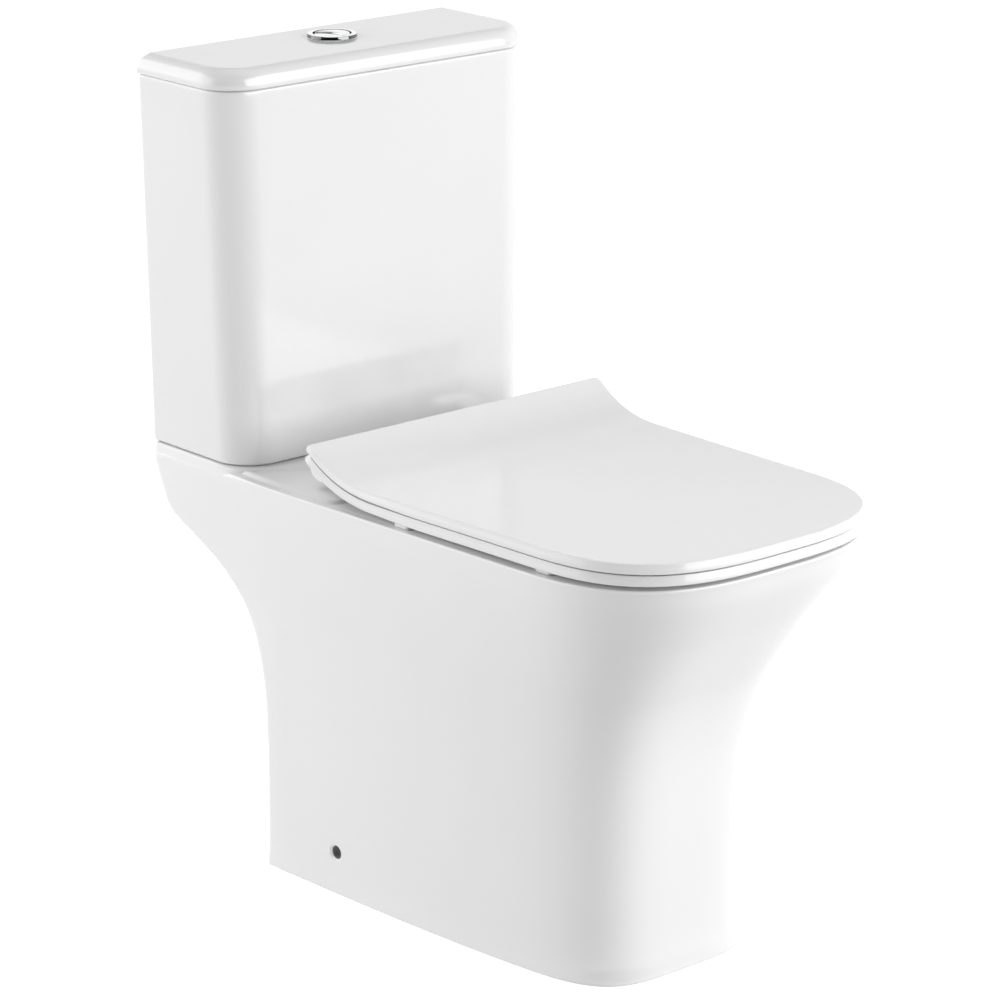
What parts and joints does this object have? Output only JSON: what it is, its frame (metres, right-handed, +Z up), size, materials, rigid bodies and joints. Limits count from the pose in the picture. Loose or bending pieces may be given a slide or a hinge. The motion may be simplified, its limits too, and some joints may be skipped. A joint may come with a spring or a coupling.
{
  "type": "close coupled toilet",
  "caption": "Close coupled toilet: white glazed pan with skirted tapering foot, ceramic cistern and lid, split push button, slim soft-close seat and lid.",
  "frame": {"origin": "centre of the bounding box at floor level", "axes": "+Z up, front towards -Y, wall towards +Y, +X to the right seen from the front"},
  "size_m": [0.371, 0.665, 0.782],
  "materials": {
    "china": "white high gloss glaze",
    "seat_plastic": "white moulded gloss",
    "valve_plastic": "pale moulded plastic",
    "chrome": "bright plated",
    "rubber": "matt",
    "pad": "pale soft pad",
    "brass": "plain",
    "steel": "bright"
  },
  "bodies": {
    "pan_and_cistern": {"pan_rim": "china", "pan_skirt_front": "china", "pan_skirt_left": "china", "pan_skirt_right": "china", "pan_bowl": "china", "pan_trap": "china", "pan_duct": "china", "cistern": "china", "doughnut_seal": "rubber", "coupling_bolts": "brass", "coupling_bolt_seals": "rubber", "coupling_washers": "steel", "coupling_wing_nuts": "brass", "flush_valve_base": "valve_plastic", "flush_valve_seal": "rubber", "flush_valve_backnut": "valve_plastic", "flush_valve_canister": "valve_plastic", "flush_lever_pin": "steel", "fill_valve_body": "valve_plastic", "fill_valve_cap": "valve_plastic", "fill_valve_seal": "rubber", "fill_valve_backnut": "valve_plastic", "seat_hinge_posts": "chrome", "seat_hinge_pins": "steel", "hinge_studs": "steel", "hinge_deck_pads": "rubber", "hinge_lower_washers": "rubber", "hinge_nuts": "valve_plastic"},
    "seat": {"seat_ring": "seat_plastic", "seat_dampers": "valve_plastic", "seat_buffers": "pad"},
    "lid": {"seat_lid": "seat_plastic", "lid_dampers": "valve_plastic", "lid_buffers": "pad"},
    "cistern_top": {"cistern_lid": "china", "button_bezel": "chrome", "button_clamp_nut": "valve_plastic"},
    "full_button": {"full_flush_button": "chrome", "full_push_rod": "valve_plastic"},
    "half_button": {"half_flush_button": "chrome", "half_push_rod": "valve_plastic"},
    "piston": {"flush_valve_piston": "valve_plastic", "piston_seal": "rubber"},
    "full_lever": {"full_flush_lever": "valve_plastic"},
    "half_lever": {"half_flush_lever": "valve_plastic"},
    "float": {"fill_valve_float": "valve_plastic"},
    "float_arm": {"fill_valve_arm": "valve_plastic"}
  },
  "joints": [
    {"name": "seat_hinge", "type": "hinge", "parent": "pan_and_cistern", "child": "seat", "pos_m": [0, 0.118, 0.424], "axis": [-1, 0, 0], "range_deg": [0, 97]},
    {"name": "lid_hinge", "type": "hinge", "parent": "seat", "child": "lid", "pos_m": [0, 0.118, 0.424], "axis": [1, 0, 0], "range_deg": [-97, 0]},
    {"name": "cistern_lid_lift", "type": "slide", "parent": "pan_and_cistern", "child": "cistern_top", "axis": [0, 0, 1], "range_m": [0, 0.16]},
    {"name": "full_button_press", "type": "slide", "parent": "cistern_top", "child": "full_button", "axis": [0, 0, -1], "range_m": [0, 0.006], "stiffness_N_per_m": 500, "springref_m": -0.006},
    {"name": "half_button_press", "type": "slide", "parent": "cistern_top", "child": "half_button", "axis": [0, 0, -1], "range_m": [0, 0.006], "stiffness_N_per_m": 500, "springref_m": -0.006},
    {"name": "piston_lift", "type": "slide", "parent": "pan_and_cistern", "child": "piston", "axis": [0, 0, 1], "range_m": [0, 0.0106]},
    {"name": "full_lever_pivot", "type": "hinge", "parent": "pan_and_cistern", "child": "full_lever", "pos_m": [0.009, 0.262, 0.67], "axis": [-1, 0, 0], "range_deg": [0, 23.5]},
    {"name": "half_lever_pivot", "type": "hinge", "parent": "pan_and_cistern", "child": "half_lever", "pos_m": [-0.009, 0.262, 0.67], "axis": [-1, 0, 0], "range_deg": [0, 23.5]},
    {"name": "float_rise", "type": "slide", "parent": "pan_and_cistern", "child": "float", "axis": [0, 0, 1], "range_m": [0, 0.02]},
    {"name": "float_arm_pivot", "type": "hinge", "parent": "pan_and_cistern", "child": "float_arm", "pos_m": [0.133, 0.264, 0.67], "axis": [0, 1, 0], "range_deg": [0, 39.5]}
  ],
  "couplings": [
    {"joint": "piston_lift", "follows": "full_button_press", "ratio": 1.75},
    {"joint": "full_lever_pivot", "follows": "full_button_press", "rad_per_m": 66.667},
    {"joint": "half_lever_pivot", "follows": "half_button_press", "rad_per_m": 66.667},
    {"joint": "float_arm_pivot", "follows": "float_rise", "rad_per_m": 34}
  ]
}
